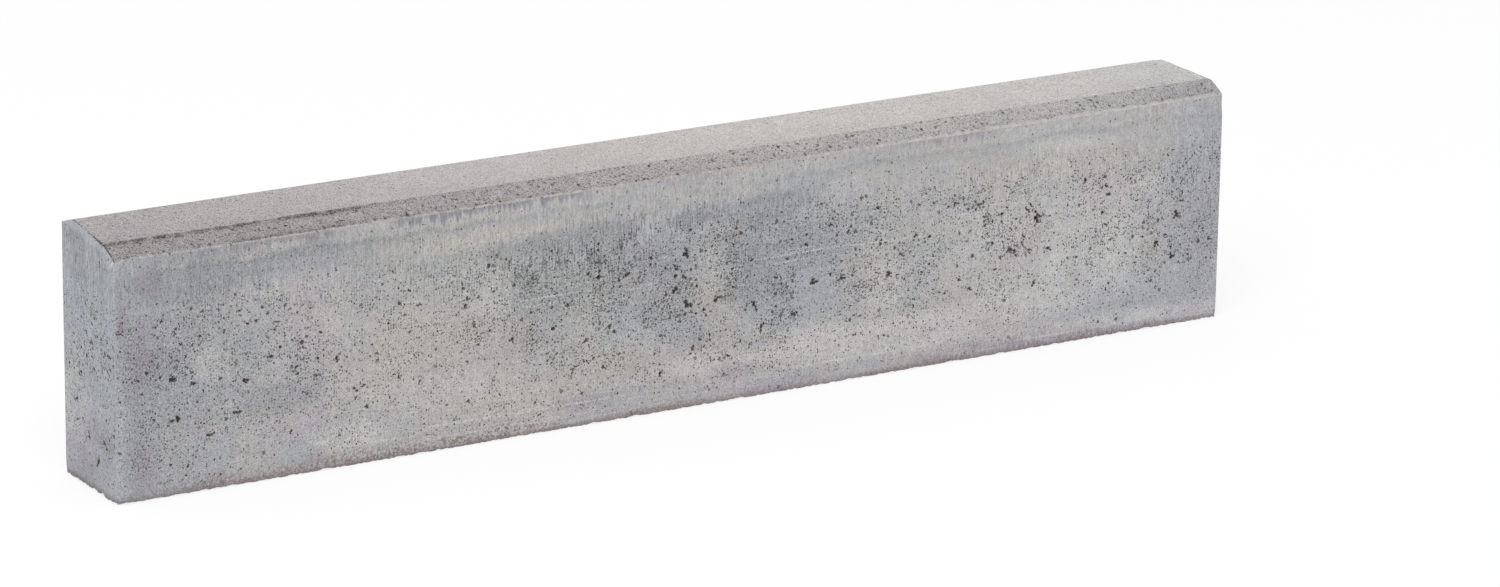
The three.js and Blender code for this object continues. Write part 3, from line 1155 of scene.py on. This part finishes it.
# %% Holes and edges of the sides
SMALL_HOLE_SHADE, HOLE_FLOOR_BROWN_AND_SHADE, HOLE_DEPTH_SHADE = tone(60, 54, 51), tone(92, 80, 76), tone(44, 38, 36)
FOOT_LINE, CORNER_HIGHLIGHT, LIP_AND_HIGHLIGHT = tone(122, 110, 109), tone(190, 192, 194), tone(211, 209, 206)


def lay_hole_shade(side, small):
    hollow_here = side.read("hollow")
    rags = side.cloud(1.2 * MM, 3.0, 0.7)
    floor_brown_and_shade = (hollow_here * 1.1 + rags * 2.6).step(0.3, 0.75) * hollow_here.step(0.02, 0.15)
    depth_shade = (hollow_here + rags * 2.2).step(0.75, 1.0) * hollow_here.step(0.1, 0.3)
    # Painted shade: dark specks where the small holes are, and in the holes cut into the mesh a brown
    # floor, partly shade, and a dark depth
    side.lay(SMALL_HOLE_SHADE, small)
    side.lay(HOLE_FLOOR_BROWN_AND_SHADE, floor_brown_and_shade * 0.85)
    side.lay(HOLE_DEPTH_SHADE, depth_shade * 0.9)


# How strongly the pale painted highlight lies along the arris: broken, and growing towards the right end
def lip_highlight_strength(finish):
    broken = finish.streaks((110, 0, 0), 5.0, 0.8) * 3.5
    return (broken + 0.35 + finish.x.step(0.0, 0.3) * 0.3).step(0.1, 0.9) * 0.8


def lay_edge_marks_and_highlights(side):
    foot = 1 - (side.z + side.cloud(2.5 * MM, 3.0, 0.8) * 10 * MM).step(1.5 * MM, 5.5 * MM)
    side.lay(FOOT_LINE, foot * 0.54)
    # Painted highlight: a broken pale line down the outer upright corners
    to_end, to_side = HIGH.x - side.x.size(), HIGH.y - side.y.size()
    corner = (1 - to_end.step(0.6 * MM, 2.0 * MM)) * (1 - to_side.step(0.6 * MM, 2.0 * MM))
    side.lay(CORNER_HIGHLIGHT, corner * (side.middle + 0.5).step(0.2, 0.6) * 0.5)
    # Painted highlight along the arris, over the ridge of paste that the mesh has there
    on_face = 1 - side.y.step(LOW.y + 2 * MM, LOW.y + 4 * MM)
    wide = side.x.step(0.0, 0.25) * 0.5 * MM
    lip = (side.z + side.cloud(3.5 * MM) * 3.5 * MM + wide).step(ARRIS_Z - 1.5 * MM, ARRIS_Z - 0.6 * MM)
    side.lay(LIP_AND_HIGHLIGHT, lip * on_face * lip_highlight_strength(side))


print("the lip sends back", round(LIP_AND_HIGHLIGHT[1] / SMALL_HOLE_SHADE[1]), "times as much light as a small hole")

# %% [markdown]
# The layers go over each other in the order in which they came about. Grain and small holes also feed the
# bump: cut into the mesh they would need millions of faces, and at this size a bump looks the same.

# %% Finish the sides
MATT = 0.9
LAYERS = (lay_paste, lay_weather, hang_curtain, tint_side, lay_ledges, shade_grain, draw_dashes)


def moulded_finish(side):
    small = small_holes(side)
    for layer in LAYERS:
        layer(side)
    lay_hole_shade(side, small)
    lay_edge_marks_and_highlights(side)
    height = side.short_lines * 0.12 + side.long_lines * 0.2 + side.fine * 0.1 + side.middle * 0.2
    return side.close(MATT, height - small * 0.5)


moulded, butt = (moulded_finish(side) for side in sides)

# %% [markdown]
# ## Marks on the top and the chamfer
#
# A little paste from the mould has curled over the edge of the top at the left end, where it has cracked
# along a dark line. Along the crease the paste is dark and crumbly, with loose crumbs beside it. The marks
# could be painted on an image, but a distance from the crease or from the end says where they are and
# stays sharp at any size. They run on from the top to the chamfer, so both finishes share them.

# %% Marks that the top and the chamfer share
CRUMBLY, CREASE, LOOSE = tone(84, 76, 74), tone(80, 70, 67), tone(60, 53, 52)
SKIN, CRACK = tone(174, 179, 186), tone(74, 68, 72)
LOOSE_CRUMBS = (2.1, 0.5, 1.1)


def crumbly_paste(finish, sand):
    return (finish.read("crumbs") * 0.9 + sand * 7.0).step(0.6, 1.1)


def crease_line(finish):
    """A thin, broken dark line along the crease, in the part of the stone nearest to the left end"""
    beside = (finish.y - CREASE_Y + finish.cloud(5 * MM, 4.0, 0.8) * 8 * MM).size()
    broken = (finish.cloud(6 * MM, 4.0, 0.8) * 4 + 0.3).step(0.1, 0.8)
    return (1 - beside.step(0.5 * MM, 1.7 * MM)) * broken * (1 - finish.x.step(-0.32, -0.22))


def lay_crumbs(finish, crumbly, sheet):
    finish.lay(CRUMBLY, crumbly * 0.6)
    finish.lay(CREASE, crease_line(finish) * 0.6)
    ragged = finish.shaken(1.2 * MM, 1 * MM, sheet)
    finish.lay(LOOSE, finish.specks(LOOSE_CRUMBS, finish.read("crumbs") * 1.5, ragged) * 0.9)


def end_skin(finish):
    """The skin of the left end, curled over the top in a wedge that widens towards the back, and the
    dark crack along it, which is wider on the chamfer"""
    wedge = (finish.y - CREASE_Y).most(0) * 0.125 + 1.2 * MM
    past = finish.x - LOW.x - wedge + finish.cloud(6 * MM, 4.0, 0.85) * 9 * MM
    skin = 1 - past.step(-0.6 * MM, 0.4 * MM)
    front = 1 - finish.y.step(-30 * MM, 5 * MM)
    broken = (finish.cloud(3 * MM, 3.0, 0.7) * 4 + front * 0.5 + 0.25).step(0.1, 0.7)
    width = (front * 1.3 + finish.cloud(6 * MM, 2.0) * 5).most(0.1) * MM
    return skin, past.band(-0.2 * MM, width, 0.5 * MM) * broken


print("loose crumbs are up to", 2 * LOOSE_CRUMBS[2], "mm wide")

# %% [markdown]
# ## Struck top
#
# The ram leaves the top close and even, like coarse sandpaper, and it is the palest face. It is greyer at
# the left end, where more dark grains show, and paler and a little rosy towards the right. Its grains are
# smaller than the lattice, so they are specks in the material.

# %% Finish of the top
TOP_LEFT, TOP_RIGHT, ROSY = tone(182, 178, 180), tone(215, 212, 209), tone(206, 191, 185)
TOP_GRAIN, TOP_PIT_SHADE, CURL = tone(112, 107, 106), tone(92, 86, 85), tone(164, 167, 170)
TOP_GRAINS = (2.3, 0.45, 0.8)
TOP_PITS = (4, 0.5, 1.1)
SANDPAPER = 0.95


def top_paste(top):
    top.lay(TOP_RIGHT, top.x.step(-0.68, 0.26))
    warmth = top.cloud(3 * MM, 3.0, 0.7, top.moved((0.3, 0.9, 0.2)))
    rosy = (warmth * 3 + top.x.step(-0.4, -0.1) * (1 - top.x.step(0.1, 0.45)) * 0.25).step(0.0, 1.0)
    top.lay(ROSY, rosy * 0.5)
    # Painted shade: the top is darker towards the crease, fading out 50 mm behind it
    top.tint((0.94, 0.94, 0.94), 1 - top.y.step(CREASE_Y, CREASE_Y + 50 * MM))
    top.tint((0.98, 1.0, 1.01), top.x.step(0.32, 0.5))
    top.mottle(MOTTLE_SIZE, 3.4)


def struck_finish():
    top = Finish("struck_concrete", TOP_LEFT)
    sheet = top.flat(top.x, top.y)
    near = 1 - top.x.step(-0.5, -0.1)
    sand = top.cloud(1.1 * MM, 2.0, 0.75)
    middle = top.cloud(6 * MM, 3.0, 0.6)
    grains = top.specks(TOP_GRAINS, near * 0.2 + 0.3, top.shaken(1 * MM, 0.7 * MM, sheet))
    pits = top.specks(TOP_PITS, near * 0.35 + 0.1, top.shaken(1.4 * MM, 1.0 * MM, sheet))
    curl = (top.x + top.cloud(7 * MM, 2.0) * 6 * MM).step(HIGH.x - 3.5 * MM, HIGH.x - 2 * MM)
    crumbly = crumbly_paste(top, sand)
    skin, crack = end_skin(top)
    top_paste(top)
    top.shade(1.02 + sand * (near * 1.2 + 3.6) + middle * 0.3 + top.cloud(40 * MM, 3.0, 0.5) * 0.2)
    top.lay(TOP_GRAIN, grains * (near * 0.3 + 0.45))
    # Painted shade: the small pits of the top are dark specks
    top.lay(TOP_PIT_SHADE, pits * 0.85)
    top.lay(CURL, curl * 0.7)
    top.lay(SKIN, skin * 0.8)
    lay_crumbs(top, crumbly, sheet)
    top.lay(CRACK, crack * 0.9)
    height = sand * 0.4 + middle * 0.3 - pits * 0.4 - crumbly * 0.5 - crack * 0.6 + skin * 0.3
    return top.close(SANDPAPER, height)


struck = struck_finish()

# %% [markdown]
# ## Open chamfer
#
# The chamfer is rough and full of small pockets, painted dark with shade, between pale grains, because the
# ram barely closes it. It ends in the lip of paste at the arris, which gets a painted highlight, a pale
# line. Its larger bumps are already in the mesh, so the material adds only grains, pockets, that highlight
# and the marks that it shares with the top.

# %% Finish of the chamfer
BAND_LEFT, BAND_RIGHT, CLOSED_BAND = tone(168, 164, 165), tone(193, 191, 190), tone(200, 196, 192)
PALE_GRAIN, DARK_GRAIN, POCKET_SHADE = tone(220, 217, 215), tone(102, 97, 97), tone(66, 60, 59)
DARK_GRAINS = (2.0, 0.5, 0.95)
PALE_GRAINS = (2.4, 0.4, 0.9)
POCKETS = (4.2, 0.5, 1.6)


def band_paste(band):
    band.lay(BAND_RIGHT, band.x.step(-0.6, 0.35) - band.x.step(0.36, 0.5) * 0.55)
    closed = band.y.step(CREASE_Y - 6 * MM, CREASE_Y) * band.x.step(-0.2, 0.1)
    band.lay(CLOSED_BAND, closed * 0.5)
    band.tint((0.92, 0.91, 0.91), 1 - band.y.step(LOW.y + 2 * MM, LOW.y + 9 * MM))
    band.tint((0.98, 1.0, 1.025), band.x.step(0.25, 0.5))
    band.mottle(8 * MM, 6.0)


def open_finish():
    band = Finish("open_concrete", BAND_LEFT)
    sheet = band.flat(band.x, band.y)
    grit = band.cloud(0.9 * MM, 2.0, 0.8)
    by_arris = 1 - band.y.step(LOW.y + 2.5 * MM, LOW.y + 5 * MM)
    near = 1 - band.x.step(-0.35, 0.3)
    dark_grains = band.specks(DARK_GRAINS, near * 0.2 + 0.35, band.shaken(1 * MM, 0.9 * MM, sheet))
    pale_grains = band.specks(PALE_GRAINS, 0.35, band.shaken(1.1 * MM, 0.9 * MM, sheet))
    pockets = band.specks(POCKETS, by_arris * 0.2 + 0.3, band.shaken(1.4 * MM, 1.5 * MM, sheet))
    crumbly = crumbly_paste(band, grit)
    skin, crack = end_skin(band)
    width = 1.0 * MM + band.x.step(0.0, 0.25) * 1.4 * MM
    lip = 1 - (band.y + band.cloud(3.5 * MM) * 4 * MM - width).step(LOW.y, LOW.y + 1.0 * MM)
    band_paste(band)
    band.shade(1.02 + grit * 4.8 + band.cloud(12 * MM, 3.0, 0.6) * 0.4)
    band.lay(PALE_GRAIN, pale_grains * 0.7)
    band.lay(DARK_GRAIN, dark_grains * (near * 0.2 + 0.7))
    # Painted shade: the small pockets are dark specks
    band.lay(POCKET_SHADE, pockets * 0.9)
    lay_crumbs(band, crumbly, sheet)
    band.lay(SKIN, skin * 0.8)
    band.lay(CRACK, crack * 0.9)
    # A pale painted highlight along the arris, over the ridge of paste that the mesh has there
    band.lay(LIP_AND_HIGHLIGHT, lip * lip_highlight_strength(band))
    return band.close(SANDPAPER, grit * 0.9 - pockets * 0.7 - crumbly * 0.4 - crack * 0.6)


open_chamfer = open_finish()

# %% [markdown]
# ## Bed
#
# The underside is coarse and a little brown from the board that it hardened on. It is rarely seen, so it
# has only grit, a slow change of tone and open pockets.

# %% Finish of the bed
BED_DARK, BED_LIGHT, BED_POCKET_SHADE = tone(148, 143, 139), tone(168, 164, 160), tone(90, 82, 78)
BED_POCKETS = (6, 0.7, 2.2)


def bed_finish():
    bed = Finish("bed_concrete", BED_DARK)
    grit = bed.cloud(2.2 * MM, 3.0, 0.7)
    pockets = bed.specks(BED_POCKETS, 0.4, bed.shaken(2 * MM, 2 * MM, bed.flat(bed.x, bed.y)))
    bed.lay(BED_LIGHT, bed.cloud(18 * MM, 3.0, 0.6).step(-0.15, 0.15))
    bed.shade(1 + grit * 1.2)
    # Painted shade: the open pockets are dark specks
    bed.lay(BED_POCKET_SHADE, pockets * 0.8)
    return bed.close(SANDPAPER, grit * 0.8 - pockets * 0.8)


for material in (moulded, butt, struck, open_chamfer, bed_finish()):
    casting.data.materials.append(material)
print("finishes on the casting:", [each.name for each in casting.data.materials])

# %% [markdown]
# ## Floor and light
#
# A wide sheet of white card stands in for the studio floor. The stone could be cut out and put on white
# afterwards, but a real sheet keeps its shadow. To the camera the card is mostly plain white, with just
# enough shading left to show that shadow.

# %% Lay the floor
WHITE = (1.0, 1.0, 1.0, 1.0)
CARD = (0.8, 0.8, 0.8, 1.0)
GLOW = 1.12
GLOW_SHARE = 0.68
HALF_FLOOR = 20.0


def floor_finish():
    card = Net(bpy.data.materials.new("white_card"))
    matt = card.node("ShaderNodeBsdfDiffuse", {}, {"Color": CARD})
    glow = card.node("ShaderNodeEmission", {}, {"Color": WHITE, "Strength": GLOW})
    ports = {0: card.seen() * GLOW_SHARE, 1: matt.outputs[0], 2: glow.outputs[0]}
    mixed = card.node("ShaderNodeMixShader", {}, ports)
    card.node("ShaderNodeOutputMaterial", {}, {"Surface": mixed.outputs[0]})
    return card.owner


def make_floor():
    sheet = bmesh.new()
    bmesh.ops.create_grid(sheet, x_segments=1, y_segments=1, size=HALF_FLOOR)
    mesh = bpy.data.meshes.new("floor")
    sheet.to_mesh(mesh)
    floor = bpy.data.objects.new("floor", mesh)
    bpy.context.collection.objects.link(floor)
    floor.data.materials.append(floor_finish())
    return floor


floor = make_floor()
print("floor is", floor.dimensions.x, "m wide")

# %% [markdown]
# The light is even. Several lamps could give it, but a pale sky all round is simpler, and one large soft
# lamp above the left front corner is enough to model the stone. The camera sees the sky as plain white.

# %% Light the stone
SKY = 0.70
LAMP_WATTS = 140.0
LAMP_SIZE = 3.6
LAMP_DISTANCE = 6.0
LAMP_HEADING = math.radians(-38)
LAMP_HEIGHT = math.radians(50)


def light_sky():
    world = bpy.data.worlds.new("sky")
    bpy.context.scene.world = world
    sky = Net(world)
    plain = sky.node("ShaderNodeBackground", {}, {"Color": WHITE, "Strength": SKY})
    white = sky.node("ShaderNodeBackground", {}, {"Color": WHITE, "Strength": 1.0})
    mixed = sky.node("ShaderNodeMixShader", {}, {0: sky.seen(), 1: plain.outputs[0], 2: white.outputs[0]})
    sky.node("ShaderNodeOutputWorld", {}, {"Surface": mixed.outputs[0]})


def hang_lamp():
    lamp = bpy.data.lights.new("soft_lamp", "AREA")
    lamp.shape = "SQUARE"
    lamp.size = LAMP_SIZE
    lamp.energy = LAMP_WATTS
    holder = bpy.data.objects.new("soft_lamp", lamp)
    reach = math.cos(LAMP_HEIGHT)
    holder.location = LAMP_DISTANCE * Vector(
        (math.sin(LAMP_HEADING) * reach, -math.cos(LAMP_HEADING) * reach, math.sin(LAMP_HEIGHT))
    )
    holder.rotation_euler = holder.location.to_track_quat("Z", "Y").to_euler()
    bpy.context.collection.objects.link(holder)
    return holder


light_sky()
lamp = hang_lamp()
bpy.context.scene.view_settings.view_transform = "Standard"
print("lamp at", tuple(round(each, 2) for each in lamp.location))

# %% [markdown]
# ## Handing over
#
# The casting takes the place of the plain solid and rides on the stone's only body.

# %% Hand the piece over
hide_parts(NODE)
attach(casting, "root")
